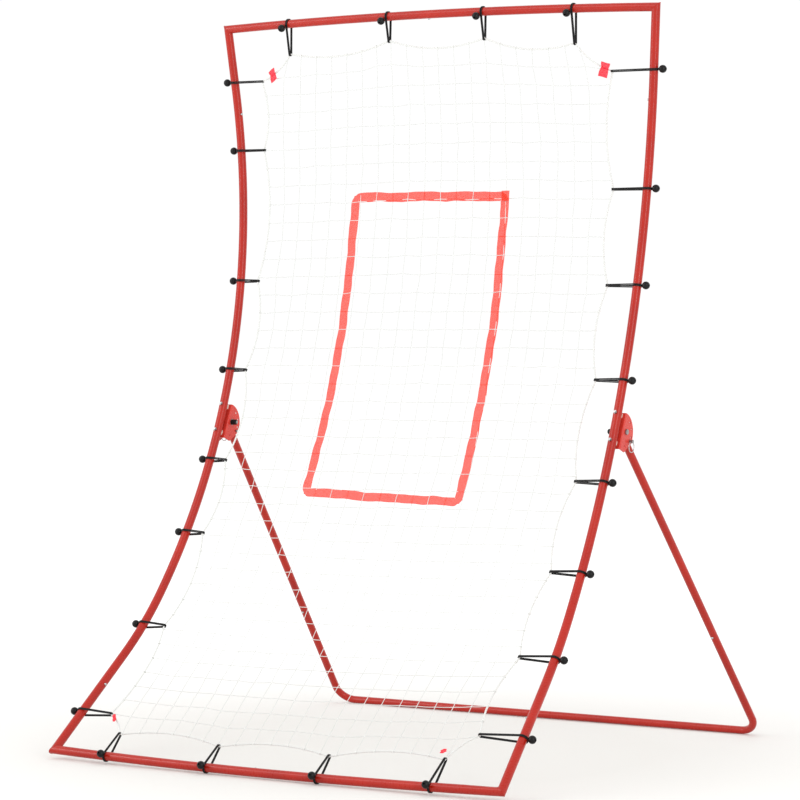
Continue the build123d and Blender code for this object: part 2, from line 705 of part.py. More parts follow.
NET_INSET = 9.0               # of the mesh from its border rope
nodes["net"] = curved_sheet(NET_THICKNESS, 0.0) & prism(net_outline())


def rope_radius(before, here, after):
    """The largest arc that the two runs at a corner leave room for."""
    shorter = min((here - before).length, (after - here).length)
    turn = radians((here - before).get_angle(after - here))
    return 0.45 * shorter / tan(turn / 2)


rope_points = []
ring = hooks(0.0)
for first, second in zip(ring, ring[1:] + ring[:1]):
    rope_points.append(net_point(*first))
    rope_points.append(net_point(*scallop_middle(first, second)))
# the rope's two ends meet in the middle of its last run
HOOK_BEND = 8.0               # of the rope where a bungee pulls it out
knot = (rope_points[-1] + rope_points[0]) / 2
knot_gap = (rope_points[0] - rope_points[-1]).normalized() * 0.2
rope_points = [knot + knot_gap] + rope_points + [knot - knot_gap]
rope_radii = []
for i in range(1, len(rope_points) - 1):
    at_hook = i % 2 == 1
    radius = HOOK_BEND if at_hook else rope_radius(*rope_points[i - 1:i + 2])
    rope_radii.append(radius)
rope_wire = FilletPolyline(*rope_points, radius=rope_radii)
rope = swept(Wire(rope_wire.edges()), ROPE_D / 2)
nodes["net_border_rope"] = rope
print("border rope: length %.0f, volume / (section x length) %.3f, least radius %.0f" % (
    rope_wire.length, rope.volume / (pi * (ROPE_D / 2) ** 2 * rope_wire.length),
    min(rope_radii)))


def net_rectangle(inset):
    """The target's outline, drawn in x and z."""
    low = net_point(0, TARGET_S[0] + inset).Z
    high = net_point(0, TARGET_S[1] - inset).Z
    width = TARGET_X[1] - TARGET_X[0] - 2 * inset
    middle = ((TARGET_X[0] + TARGET_X[1]) / 2, (low + high) / 2)
    return Pos(*middle) * Rectangle(width, high - low)


RIBBON_AHEAD = NET_THICKNESS / 2 + 0.3 + RIBBON_T / 2
ribbon_ring = net_rectangle(0.0) - net_rectangle(RIBBON_W)
nodes["target_ribbon"] = curved_sheet(RIBBON_T, RIBBON_AHEAD) & prism(ribbon_ring)

# folded ribbon tags tied in the net's corners: x, station, width, height, turn
TAGS = {
    "tag_top_left": (-500.0, 1966.0, 24.0, 30.0, 40.0),
    "tag_top_right": (484.0, 1948.0, 26.0, 38.0, -12.0),
    "tag_bottom_left": (-515.0, 112.0, 10.0, 26.0, 35.0),
    "tag_bottom_right": (444.0, 98.0, 16.0, 12.0, 20.0),
}
TAG_AHEAD = 8.5
TAG_T = 1.0
for name, (x, s, width, height, turn) in TAGS.items():
    lean = flat_profile(s)[2]
    front = Vector(0, -cos(lean), sin(lean))
    plane = Plane(origin=net_point(x, s) + front * TAG_AHEAD, x_dir=(1, 0, 0), z_dir=front)
    sheet = extrude(RectangleRounded(width, height, 2.0), amount=TAG_T / 2, both=True)
    nodes[name] = plane * Rot(0, 0, turn) * sheet


# --- bungees -------------------------------------------------------------------
def bungee(centre, hook, way, ball_turn, ball_shift):
    """Two elastic loops round the tube and the rope, and their ball."""
    span = hook - centre
    distance = span.length
    inward = span.normalized()
    beside = (way - inward * way.dot(inward)).normalized()
    front = inward.cross(beside)
    if front.Y > 0:
        front = -front
    lean_in = (BELT_R - HOOK_R) / distance
    square = sqrt(1 - lean_in ** 2)
    over = inward * lean_in + front * square
    under = inward * lean_in - front * square
    loops = []
    for shift in (-CORD_PITCH / 2, CORD_PITCH / 2):
        c = centre + beside * shift
        h = hook + beside * shift
        path = Wire([
            Edge.make_line(c + over * BELT_R, h + over * HOOK_R),
            Edge.make_three_point_arc(h + over * HOOK_R, h + inward * HOOK_R,
                                      h + under * HOOK_R),
            Edge.make_line(h + under * HOOK_R, c + under * BELT_R),
            Edge.make_three_point_arc(c + under * BELT_R, c - inward * BELT_R,
                                      c + over * BELT_R),
        ])
        loops.append(swept(path, CORD_D / 2).solid())
    turn = radians(ball_turn)
    ball_way = front * sin(turn) - inward * cos(turn)
    ball_centre = centre + ball_way * BALL_OUT + Vector(ball_shift, 0, 0)
    bead = Plane(origin=ball_centre, z_dir=ball_way)
    ball = bead * (Sphere(BALL_D / 2) - Cylinder(2.6, 2 * BALL_D))
    return loops, ball.solid()


def bungee_group(name, fittings):
    cords = []
    balls = []
    for fitting in fittings:
        loops, ball = bungee(*fitting)
        cords += loops
        balls.append(ball)
    nodes["bungee_cords_" + name] = Compound(children=cords)
    nodes["bungee_balls_" + name] = Compound(children=balls)


for side, hand, stations, hook_x in ((-1, "left", STATIONS_LEFT, NET_LEFT_X),
                                     (1, "right", STATIONS_RIGHT, NET_RIGHT_X)):
    fittings = []
    for s in stations:
        fittings.append((side_point(s, side), net_point(hook_x, s),
                         side_tangent(s, side), 0.0, 0.0))
    bungee_group(hand, fittings)

TOP_BALL_TURN = 115.0         # round the bar from its outer side to the front
FOOT_BALL_TURN = 62.0
TOP_BALL_SHIFT = -9.0
bar_axis = Vector(1, 0, 0)
fittings = []
for x, s in zip(TOP_X, NET_TOP_S):
    fittings.append((top_point(x), net_point(x, s), bar_axis, TOP_BALL_TURN, TOP_BALL_SHIFT))
bungee_group("top", fittings)
fittings = []
for x, s in zip(FOOT_X, NET_FOOT_S):
    fittings.append((foot_point(x), net_point(x, s), bar_axis, FOOT_BALL_TURN, 0.0))
bungee_group("bottom", fittings)

# --- write the parts --------------------------------------------------------------
os.makedirs("parts", exist_ok=True)
low = Vector(1e9, 1e9, 1e9)
high = -low
for name, shape in nodes.items():
    solids = shape.solids()
    if len(solids) > 1:
        shape = Compound(children=solids)
    else:
        shape = solids[0]
    shape.label = name
    export_step(shape, os.path.join("parts", name + ".step"))
    box = shape.bounding_box()
    low = Vector(min(low.X, box.min.X), min(low.Y, box.min.Y), min(low.Z, box.min.Z))
    high = Vector(max(high.X, box.max.X), max(high.Y, box.max.Y), max(high.Z, box.max.Z))
print(len(nodes), "nodes, from", low, "to", high)
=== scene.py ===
import json
from math import atan2, cos, hypot, pi, radians, sin

import bpy
import numpy as np
from mathutils import Matrix


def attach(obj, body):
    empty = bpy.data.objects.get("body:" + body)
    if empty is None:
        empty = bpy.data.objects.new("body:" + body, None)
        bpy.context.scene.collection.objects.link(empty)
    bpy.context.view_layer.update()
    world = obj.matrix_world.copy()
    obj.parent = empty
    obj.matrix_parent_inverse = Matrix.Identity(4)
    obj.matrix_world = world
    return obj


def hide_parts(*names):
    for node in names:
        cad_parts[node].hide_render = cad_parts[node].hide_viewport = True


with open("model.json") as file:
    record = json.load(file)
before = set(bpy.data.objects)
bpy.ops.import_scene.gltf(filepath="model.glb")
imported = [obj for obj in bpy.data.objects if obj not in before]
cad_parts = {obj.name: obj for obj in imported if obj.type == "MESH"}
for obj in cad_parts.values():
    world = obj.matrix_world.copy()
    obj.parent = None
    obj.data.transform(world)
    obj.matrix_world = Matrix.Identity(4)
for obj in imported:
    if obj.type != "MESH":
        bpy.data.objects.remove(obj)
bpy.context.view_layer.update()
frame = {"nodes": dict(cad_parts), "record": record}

MM = 0.001
rng = np.random.default_rng(7)

# --- driving dimensions, as in the CAD source, millimetres -------------------------
FOOT_LEAN = radians(49.65)    # lean back from vertical at the bottom bar
SIDE_RUNS = ((332.0, 0.0), (203.0, 990.0), (1411.0, 1836.0), (158.0, 0.0))
SIDE_LENGTH = sum(run[0] for run in SIDE_RUNS)
SIDE_TILT = radians(10.08)    # each side's plane leans in about its chord
ORIGIN_Y = 653.15             # from the bottom corners back to the origin
FOOT_CORNER_Z = 21.88
NET_LEFT_X = -540.0
NET_RIGHT_X = 512.0
SCALLOP = 22.0                # sag of the net's edge between two bungees
# stations are distances up the side from the bottom bar
STATIONS_LEFT = (130.0, 435.0, 720.0, 932.0, 1185.0, 1428.0, 1779.0, 1962.0)
STATIONS_RIGHT = (162.0, 412.0, 658.0, 905.0, 1172.0, 1414.0, 1656.0, 1951.0)
TOP_X = (-445.0, -136.0, 148.0, 409.0)
FOOT_X = (-477.0, -174.0, 144.0, 454.0)
NET_TOP_S = (2031.0, 2053.0, 2048.0, 2025.0)
NET_FOOT_S = (67.0, 57.0, 57.0, 79.0)


def flat_profile(station):
    """Place and lean of the side's bend, laid flat, at a station."""
    y = 0.0
    z = 0.0
    lean = FOOT_LEAN
    left = station
    for length, radius in SIDE_RUNS:
        run = min(left, length)
        if run <= 0.0:
            break
        if radius == 0.0:
            y += run * sin(lean)
            z += run * cos(lean)
        else:
            turn = run / radius
            y += radius * (cos(lean - turn) - cos(lean))
            z += radius * (sin(lean) - sin(lean - turn))
            lean -= turn
        left -= run
    return y, z


TOP_Y, TOP_Z = flat_profile(SIDE_LENGTH)
CHORD_LEAN = atan2(TOP_Y, TOP_Z)
PROFILE_STEP = 4.0            # between two stations of the profile's table


def profile_table():
    """Stations up the side with the net's y and z at each."""
    stations = np.arange(0.0, SIDE_LENGTH + PROFILE_STEP, PROFILE_STEP)
    rows = []
    for station in stations:
        y, z = flat_profile(station)
        along = y * sin(CHORD_LEAN) + z * cos(CHORD_LEAN)
        bulge = y * cos(CHORD_LEAN) - z * sin(CHORD_LEAN)
        back = bulge * cos(SIDE_TILT)
        rows.append((-ORIGIN_Y + along * sin(CHORD_LEAN) + back * cos(CHORD_LEAN),
                     FOOT_CORNER_Z + along * cos(CHORD_LEAN) - back * sin(CHORD_LEAN)))
    return stations, np.array(rows)


STATION_ROWS, PROFILE_ROWS = profile_table()
PROFILE_SLOPES = np.gradient(PROFILE_ROWS, PROFILE_STEP, axis=0)


def on_net(xs, ahead=0.0):
    """Points of the net's surface from (x, station), some way in front of it."""
    xs = np.asarray(xs, float)
    y = np.interp(xs[..., 1], STATION_ROWS, PROFILE_ROWS[:, 0])
    z = np.interp(xs[..., 1], STATION_ROWS, PROFILE_ROWS[:, 1])
    dy = np.interp(xs[..., 1], STATION_ROWS, PROFILE_SLOPES[:, 0])
    dz = np.interp(xs[..., 1], STATION_ROWS, PROFILE_SLOPES[:, 1])
    size = np.hypot(dy, dz)
    return np.stack([xs[..., 0], y - ahead * dz / size, z + ahead * dy / size], -1)


# --- mesh helpers ----------------------------------------------------------------
class Bag:
    """Vertices, faces and UVs gathered for one mesh."""

    def __init__(self):
        self.vertices = []
        self.faces = []
        self.uvs = []
        self.count = 0

    def add(self, vertices, faces, uvs):
        """Takes in points in millimetres, faces and a UV for each face corner."""
        self.vertices.append(np.asarray(vertices, float))
        self.faces.append(np.asarray(faces, int) + self.count)
        self.uvs.append(np.asarray(uvs, float))
        self.count += len(vertices)

    def make(self, name):
        """Turns all that was added into one smooth object."""
        vertices = np.concatenate(self.vertices) * MM
        faces = np.concatenate(self.faces)
        uvs = np.concatenate(self.uvs)
        mesh = bpy.data.meshes.new(name)
        mesh.from_pydata(vertices.tolist(), [], faces.tolist())
        layer = mesh.uv_layers.new(name="UVMap")
        layer.data.foreach_set("uv", uvs.astype(np.float32).ravel())
        mesh.polygons.foreach_set("use_smooth", [True] * len(mesh.polygons))
        mesh.update()
        piece = bpy.data.objects.new(name, mesh)
        bpy.context.scene.collection.objects.link(piece)
        return piece


def frames_along(points, closed):
    """Tangent and two turning-free normals at each point of a line."""
    if closed:
        tangents = np.roll(points, -1, 0) - np.roll(points, 1, 0)
    else:
        tangents = np.gradient(points, axis=0)
    tangents /= np.linalg.norm(tangents, axis=1)[:, None]
    start = np.array([0.0, 0.0, 1.0])
    if abs(tangents[0] @ start) > 0.9:
        start = np.array([0.0, 1.0, 0.0])
    normals = np.empty_like(points)
    normal = start
    for i, tangent in enumerate(tangents):
        normal = normal - tangent * (normal @ tangent)
        normal /= np.linalg.norm(normal)
        normals[i] = normal
    return tangents, normals, np.cross(tangents, normals)


def add_tube(bag, points, radius, sides, closed=False):
    """A round tube along a line, with UVs of turns and metres."""
    points = np.asarray(points, float)
    _, normals, others = frames_along(points, closed)
    radius = np.broadcast_to(radius, len(points))
    angles = np.arange(sides) * 2 * pi / sides
    ring = (normals[:, None] * np.cos(angles)[None, :, None]
            + others[:, None] * np.sin(angles)[None, :, None])
    vertices = points[:, None] + ring * radius[:, None, None]
    rows = len(points)
    spans = np.arange(rows if closed else rows - 1)
    i, k = np.meshgrid(spans, np.arange(sides), indexing="ij")
    after = (i + 1) % rows
    beside = (k + 1) % sides
    faces = np.stack([i * sides + k, after * sides + k,
                      after * sides + beside, i * sides + beside], -1).reshape(-1, 4)
    steps = np.linalg.norm(np.diff(points, axis=0), axis=1)
    lengths = np.concatenate([[0.0], np.cumsum(steps)]) * MM
    near = lengths[i]
    far = np.where(i + 1 < rows, lengths[np.minimum(i + 1, rows - 1)], near + MM)
    u = k / sides
    v = (k + 1) / sides
    uvs = np.stack([np.stack([u, near], -1), np.stack([u, far], -1),
                    np.stack([v, far], -1), np.stack([v, near], -1)], 2).reshape(-1, 2)
    bag.add(vertices.reshape(-1, 3), faces, uvs)


def add_sheet(bag, points, uv):
    """A sheet from rows and columns of points, with the UV of each."""
    rows, columns = uv.shape[:2]
    i, k = np.meshgrid(np.arange(rows - 1), np.arange(columns - 1), indexing="ij")
    faces = np.stack([i * columns + k, i * columns + k + 1,
                      (i + 1) * columns + k + 1, (i + 1) * columns + k], -1).reshape(-1, 4)
    bag.add(points.reshape(-1, 3), faces, uv.reshape(-1, 2)[faces].reshape(-1, 2))


def smoothed(points, passes):
    """A closed line with its corners eased."""
    for _ in range(passes):
        points = 0.5 * points + 0.25 * (np.roll(points, 1, 0) + np.roll(points, -1, 0))
    return points


# --- the net's outline: a scalloped rope pulled out at 24 hooks ---------------------
def net_hooks():
    """The hooks in (x, station), from the lower left up, over the top and round."""
    left = [(NET_LEFT_X, s) for s in STATIONS_LEFT]
    top = list(zip(TOP_X, NET_TOP_S))
    right = [(NET_RIGHT_X, s) for s in reversed(STATIONS_RIGHT)]
    foot = list(zip(reversed(FOOT_X), reversed(NET_FOOT_S)))
    return left + top + right + foot


ROPE_STEP = 2.5
FULL_SAG_RUN = 250.0          # between hooks closer than this the rope sags less
CORNER_PASSES = 3


def rope_line():
    """The rope's closed line in (x, station) and the index of each hook on it."""
    ring = net_hooks()
    line = []
    places = []
    for first, second in zip(ring, ring[1:] + ring[:1]):
        run = hypot(second[0] - first[0], second[1] - first[1])
        normal = np.array([second[1] - first[1], first[0] - second[0]]) / run
        sag = SCALLOP * min(1.0, run / FULL_SAG_RUN)
        count = max(4, int(run / ROPE_STEP))
        places.append(len(line))
        for k in range(count):
            t = k / count
            spot = np.array(first) * (1 - t) + np.array(second) * t
            line.append(spot + normal * sag * 4 * t * (1 - t))
    return smoothed(np.array(line), CORNER_PASSES), places


rope_xs, hook_places = rope_line()


def rope_between(first_hook, second_hook):
    """The index half way along the run between two hooks in the ring."""
    a = hook_places[first_hook]
    b = hook_places[second_hook] if second_hook else len(rope_xs)
    return (a + b) // 2


LEFT_COUNT = len(STATIONS_LEFT)
TOP_COUNT = len(TOP_X)
RIGHT_COUNT = len(STATIONS_RIGHT)
corner_top_left = rope_between(LEFT_COUNT - 1, LEFT_COUNT)
corner_top_right = rope_between(LEFT_COUNT + TOP_COUNT - 1, LEFT_COUNT + TOP_COUNT)
corner_foot_right = rope_between(LEFT_COUNT + TOP_COUNT + RIGHT_COUNT - 1,
                                 LEFT_COUNT + TOP_COUNT + RIGHT_COUNT)
corner_foot_left = rope_between(len(hook_places) - 1, 0)


def rope_part(start, end, count):
    """Evenly spread points along the rope from one index to another."""
    if end < start:
        end += len(rope_xs)
    part = rope_xs[np.arange(start, end + 1) % len(rope_xs)]
    steps = np.linalg.norm(np.diff(part, axis=0), axis=1)
    lengths = np.concatenate([[0.0], np.cumsum(steps)])
    wanted = np.linspace(0.0, lengths[-1], count)
    return np.stack([np.interp(wanted, lengths, part[:, 0]),
                     np.interp(wanted, lengths, part[:, 1])], -1)


# --- the mesh: a grid that settles between the edges ---------------------------------
COLUMNS = 21
ROWS = 40
SETTLE_PASSES = 300
KNOT_DRIFT = 1.3              # how far a knot strays from its settled place
left_edge = rope_part(corner_foot_left, corner_top_left, ROWS + 1)
top_edge = rope_part(corner_top_left, corner_top_right, COLUMNS + 1)
right_edge = rope_part(corner_top_right, corner_foot_right, ROWS + 1)[::-1]
foot_edge = rope_part(corner_foot_right, corner_foot_left, COLUMNS + 1)[::-1]


def settled_grid():
    """Knot places in (x, station): rows by columns, relaxed between the edges."""
    u = np.linspace(0, 1, COLUMNS + 1)[None, :, None]
    v = np.linspace(0, 1, ROWS + 1)[:, None, None]
    across = left_edge[:, None] * (1 - u) + right_edge[:, None] * u
    upward = foot_edge[None] * (1 - v) + top_edge[None] * v
    corners = ((1 - u) * (1 - v) * foot_edge[0] + u * (1 - v) * foot_edge[-1]
               + (1 - u) * v * top_edge[0] + u * v * top_edge[-1])
    grid = across + upward - corners
    for _ in range(SETTLE_PASSES):
        inner = (grid[:-2, 1:-1] + grid[2:, 1:-1] + grid[1:-1, :-2] + grid[1:-1, 2:]) / 4
        grid[1:-1, 1:-1] = inner
    grid[1:-1, 1:-1] += rng.normal(0.0, KNOT_DRIFT, grid[1:-1, 1:-1].shape)
    return grid


grid = settled_grid()
waves = rng.normal(0.0, 1.0, (5, 3))
WAVE_DEPTH = 1.2
CALM_EDGE = 120.0             # the waves die out this near the net's edges
FOOT_EDGE_S = 60.0
TOP_EDGE_S = 2040.0


def net_depth(xs):
    """How far the slack mesh stands ahead of its flat surface."""
    x = xs[..., 0] / 1000.0
    s = xs[..., 1] / 1000.0
    depth = np.zeros(x.shape)
    for k, (a, b, c) in enumerate(waves):
        depth += WAVE_DEPTH * np.sin((2 + k) * (a * x + 0.7 * s) * 2 + b * 3 + c)
    edge = np.minimum(np.minimum(xs[..., 0] - NET_LEFT_X, NET_RIGHT_X - xs[..., 0]),
                      np.minimum(xs[..., 1] - FOOT_EDGE_S, TOP_EDGE_S - xs[..., 1]))
    return depth * np.clip(edge / CALM_EDGE, 0, 1)


TWINE_R = 0.85
SEGMENT_POINTS = 4            # of a twine, from one knot to the next
ROW_SAG = 0.9
SLACK_SPREAD = 0.5


def strand_line(nodes, slack):
    """One twine through its knots, sagging a little between them."""
    line = []
    for k in range(len(nodes) - 1):
        for t in np.arange(SEGMENT_POINTS) / SEGMENT_POINTS:
            spot = nodes[k] * (1 - t) + nodes[k + 1] * t
            line.append(spot + slack[k] * 4 * t * (1 - t))
    line.append(nodes[-1])
    return np.array(line)


def build_twines():
    """Every row and column of the mesh as one sagging twine."""
    bag = Bag()
    for row in range(1, ROWS):
        slack = np.zeros((COLUMNS, 2))
        slack[:, 1] = -np.abs(rng.normal(ROW_SAG, SLACK_SPREAD, COLUMNS))
        line = strand_line(grid[row], slack)
        add_tube(bag, on_net(line, net_depth(line)), TWINE_R, 6)
    for column in range(1, COLUMNS):
        slack = np.zeros((ROWS, 2))
        slack[:, 0] = rng.normal(0.0, SLACK_SPREAD, ROWS)
        line = strand_line(grid[:, column], slack)
        add_tube(bag, on_net(line, net_depth(line)), TWINE_R, 6)
    return bag.make("net_mesh")


KNOT_TWINE_R = 0.62           # twine pulled tight is thinner
KNOT_POINTS = 18
KNOT_SIZE = 0.4
KNOT_DEPTH = 0.75


def knot_line(centre, along, across, front):
    """A small trefoil of twine that stands for one knot."""
    t = np.arange(KNOT_POINTS) * 2 * pi / KNOT_POINTS
    a = (np.sin(t) + 1.7 * np.sin(2 * t)) * KNOT_SIZE
    b = (np.cos(t) - 1.7 * np.cos(2 * t)) * KNOT_SIZE
    c = -np.sin(3 * t) * KNOT_DEPTH
    return centre + a[:, None] * along + b[:, None] * across + c[:, None] * front


def build_knots():
    """A knot where each row crosses each column, turned at random."""
    bag = Bag()
    knots = grid[1:-1, 1:-1].reshape(-1, 2)
    places = on_net(knots, net_depth(knots))
    turns = rng.uniform(0, pi, len(knots))
    rise = on_net(knots + (0, 1.0)) - on_net(knots)
    for place, turn, up in zip(places, turns, rise):
        up = up / np.linalg.norm(up)
        right = np.array([1.0, 0.0, 0.0])
        front = np.cross(right, up)
        along = right * cos(turn) + up * sin(turn)
        across = np.cross(front, along)
        add_tube(bag, knot_line(place, along, across, front), KNOT_TWINE_R, 5, closed=True)
    return bag.make("net_knots")


# --- the border rope and the hitches round it -----------------------------------------
ROPE_R = 2.5
STRAND_R = 1.3                # of each of the rope's three strands
LAY_OFFSET = 1.22             # and their distance from its middle
LAY_LENGTH = 20.0             # of one full turn of the strands
LAY_STEP = 2.4
HITCH_POINTS = 33
HITCH_TURNS = 2.0
HITCH_HALF_W = 1.5
HITCH_START = (0.3, 0.4, 0.86)


def build_hitches():
    """Each twine's end, wound twice round the border rope."""
    bag = Bag()
    for edge in (left_edge[1:-1], right_edge[1:-1], top_edge[1:-1], foot_edge[1:-1]):
        for k, spot in enumerate(edge):
            before = edge[max(k - 1, 0)]
            after = edge[min(k + 1, len(edge) - 1)]
            centre = on_net(spot)
            way = on_net(after) - on_net(before)
            way /= np.linalg.norm(way)
            side = np.cross(way, HITCH_START)
            side /= np.linalg.norm(side)
            other = np.cross(way, side)
            turn = np.arange(HITCH_POINTS) * 2 * pi * HITCH_TURNS / (HITCH_POINTS - 1)
            drift = np.linspace(-HITCH_HALF_W, HITCH_HALF_W, HITCH_POINTS)
            coil = (centre + drift[:, None] * way
                    + (ROPE_R + KNOT_TWINE_R) * (np.cos(turn)[:, None] * side
                                                + np.sin(turn)[:, None] * other))
            add_tube(bag, coil, KNOT_TWINE_R, 5)
    return bag.make("net_hitches")


def build_rope():
    """A three-strand laid rope along the scalloped outline."""
    centre = on_net(rope_xs)
    steps = np.linalg.norm(np.roll(centre, -1, 0) - centre, axis=1)
    lengths = np.concatenate([[0.0], np.cumsum(steps)])
    total = lengths[-1]
    count = int(total / LAY_STEP)
    wanted = np.arange(count) * total / count
    looped = np.concatenate([centre, centre[:1]])
    line = np.stack([np.interp(wanted, lengths, looped[:, k]) for k in range(3)], -1)
    _, normals, others = frames_along(line, True)
    turns = round(total / LAY_LENGTH)
    bag = Bag()
    for strand in range(3):
        phase = wanted / total * turns * 2 * pi + strand * 2 * pi / 3
        helix = line + LAY_OFFSET * (np.cos(phase)[:, None] * normals
                                     + np.sin(phase)[:, None] * others)
        add_tube(bag, np.concatenate([helix, helix[:1]]), STRAND_R, 7)
    return bag.make("border_rope")


# --- the target: one ribbon woven through the mesh -------------------------------------
TARGET_CORNERS = ((-261.0, 1660.0), (212.0, 1657.0), (207.0, 825.0), (-275.0, 836.0))
INWARDS = np.array([(1, -1), (-1, -1), (-1, 1), (1, 1)], float)
RIBBON_W = 25.0
RIBBON_LINES = 11             # of points across the ribbon
SIDE_SAMPLES = (120, 200, 120, 200)
CORNER_CUT = 16.0             # where the ribbon turns, its outer corner is folded under
CORNER_REACH = 14.0
RIBBON_LIFT = 1.2
WEAVE_DEPTH = 2.2
PINCH = 1.6                   # how much narrower the ribbon is at each twine
END_OVERLAP = 24.0            # the tail that doubles the ribbon at the top right
END_LIFT = 3.4
END_LINES = 12


def grid_lines_crossed(line, vertical):
    """Mesh lines passed so far, counted as a number that grows along a ribbon."""
    if vertical:
        nearest = int(np.argmin(np.abs(grid[ROWS // 2, :, 0] - line[:, 0].mean())))
        return np.interp(line[:, 1], grid[:, nearest, 1], np.arange(ROWS + 1))
    nearest = int(np.argmin(np.abs(grid[:, COLUMNS // 2, 1] - line[:, 1].mean())))
    return np.interp(line[:, 0], grid[nearest, :, 0], np.arange(COLUMNS + 1))


def wandering(count, from_corner):
    """A slow sideways drift of the ribbon that fades out at its corners."""
    drift = np.interp(np.arange(count), np.linspace(0, count - 1, 14),
                      rng.normal(0, 1.0, 14))
    return drift * np.clip(from_corner / 40, 0, 1)


def ribbon_side(side):
    """Points and UVs of one side of the target, and the side's length."""
    a = np.array(TARGET_CORNERS[side])
    b = np.array(TARGET_CORNERS[(side + 1) % 4])
    first_in = INWARDS[side]
    last_in = INWARDS[(side + 1) % 4]
    count = SIDE_SAMPLES[side]
    offsets = np.linspace(0.0, RIBBON_W, RIBBON_LINES)
    t = np.linspace(0.0, 1.0, count)[:, None]
    middle = a + first_in * RIBBON_W / 2
    middle = middle * (1 - t) + (b + last_in * RIBBON_W / 2) * t
    crossed = grid_lines_crossed(middle, side % 2 == 1)
    run = np.linalg.norm(b - a)
    along = (b - a) / run
    normal = (first_in + last_in) / 2
    from_corner = np.minimum(t[:, 0], 1 - t[:, 0]) * run
    weave = RIBBON_LIFT + np.cos(pi * crossed) * WEAVE_DEPTH
    weave = weave * np.clip((from_corner - 16) / 30, 0, 1)
    pinch = 0.5 + 0.5 * np.cos(2 * pi * crossed)
    wander = wandering(count, from_corner)
    rows = []
    for offset in offsets:
        line = (a + first_in * offset) * (1 - t) + (b + last_in * offset) * t
        share = offset / RIBBON_W - 0.5
        squeeze = -share * PINCH * pinch * np.clip(from_corner / 30, 0, 1)
        tucked = CORNER_CUT * (0.5 - share) ** 2 * np.exp(-(from_corner / CORNER_REACH) ** 2)
        line = line + (squeeze + wander + 0.5 * tucked)[:, None] * normal
        inward_run = np.where(t[:, 0] < 0.5, 1.0, -1.0) * 0.5 * tucked
        line = line + inward_run[:, None] * along
        curl = (share * 2) ** 2 * np.cos(pi * crossed + 0.6)
        rows.append(on_net(line, net_depth(middle) + weave - curl))
    u, v = np.meshgrid(t[:, 0] * run * MM, offsets * MM)
    return np.array(rows), np.stack([u, v], -1), float(run)


def build_ribbon():
    """The woven ribbon, and the length it was cut to in metres."""
    bag = Bag()
    flat_length = 0.0
    for side in range(4):
        points, uv, run = ribbon_side(side)
        add_sheet(bag, points, uv)
        flat_length += run - RIBBON_W
    return bag.make("strike_zone_ribbon"), flat_length * MM


def build_ribbon_end():
    """The ribbon's own end, laid over its beginning at the top right."""
    bag = Bag()
    u, v = np.meshgrid(np.linspace(0.0, 1.0, END_LINES), np.linspace(0.0, 1.0, END_LINES))
    corner = np.array(TARGET_CORNERS[1])
    flat = np.stack([corner[0] + 3.0 - u * END_OVERLAP,
                     corner[1] + 1.0 - v * (RIBBON_W + 1.0)], -1)
    lift = END_LIFT + np.sin(3.0 * u + 2.0 * v) + 1.2 * (1 - u) ** 3
    add_sheet(bag, on_net(flat, net_depth(flat) + lift),
              np.stack([u * END_OVERLAP * MM, v * RIBBON_W * MM], -1))
    return bag.make("strike_zone_ribbon_end")


# --- materials ---------------------------------------------------------------------------
def new_material(name):
    """An empty material with its node tree and its shader."""
    material = bpy.data.materials.new(name)
    material.use_nodes = True
    tree = material.node_tree
    shader = next(n for n in tree.nodes if n.type == "BSDF_PRINCIPLED")
    return material, tree, shader


def linear(rgb):
    """sRGB 0 to 255 as linear RGBA."""
    out = []
    for value in rgb:
        c = value / 255.0
        out.append(c / 12.92 if c <= 0.04045 else ((c + 0.055) / 1.055) ** 2.4)
    return (*out, 1.0)


def texture(tree, kind, coordinates, **values):
    """A texture node on the given coordinates, with its inputs set."""
    node = tree.nodes.new(kind)
    source = tree.nodes.new("ShaderNodeTexCoord")
    tree.links.new(source.outputs[coordinates], node.inputs["Vector"])
    for key, value in values.items():
        node.inputs[key].default_value = value
    return node


def ramp(tree, fac, stops):
    """A colour ramp from (place, colour) stops."""
    node = tree.nodes.new("ShaderNodeValToRGB")
    elements = node.color_ramp.elements
    while len(elements) < len(stops):
        elements.new(0.5)
    for element, (place, colour) in zip(elements, stops):
        element.position = place
        element.color = colour
    tree.links.new(fac, node.inputs["Fac"])
    return node


def bump(tree, shader, height, strength, distance):
    """Fine relief from a height output; the distance is in metres."""
    node = tree.nodes.new("ShaderNodeBump")
    node.inputs["Strength"].default_value = strength
    node.inputs["Distance"].default_value = distance
    tree.links.new(height, node.inputs["Height"])
    tree.links.new(node.outputs["Normal"], shader.inputs["Normal"])


def grey(value):
    return (value, value, value, 1.0)


def powder_coat(name, dark, light, roughness, coat):
    """Gloss powder coat: slow colour drift, fine orange peel, a few dull specks."""
    material, tree, shader = new_material(name)
    drift = texture(tree, "ShaderNodeTexNoise", "Object", Scale=9.0, Detail=4.0)
    colour = ramp(tree, drift.outputs["Fac"], [(0.32, linear(dark)), (0.68, linear(light))])
    tree.links.new(colour.outputs["Color"], shader.inputs["Base Color"])
    specks = texture(tree, "ShaderNodeTexNoise", "Object", Scale=240.0, Detail=3.0)
    rough = ramp(tree, specks.outputs["Fac"], [(0.35, grey(roughness)),
                                               (0.75, grey(roughness + 0.16))])
    tree.links.new(rough.outputs["Color"], shader.inputs["Roughness"])
    peel = texture(tree, "ShaderNodeTexNoise", "Object", Scale=620.0, Detail=2.0)
    bump(tree, shader, peel.outputs["Fac"], 0.14, 0.0004)
    shader.inputs["Specular IOR Level"].default_value = 0.28
    shader.inputs["Coat Weight"].default_value = coat
    shader.inputs["Coat Roughness"].default_value = 0.12
    return material


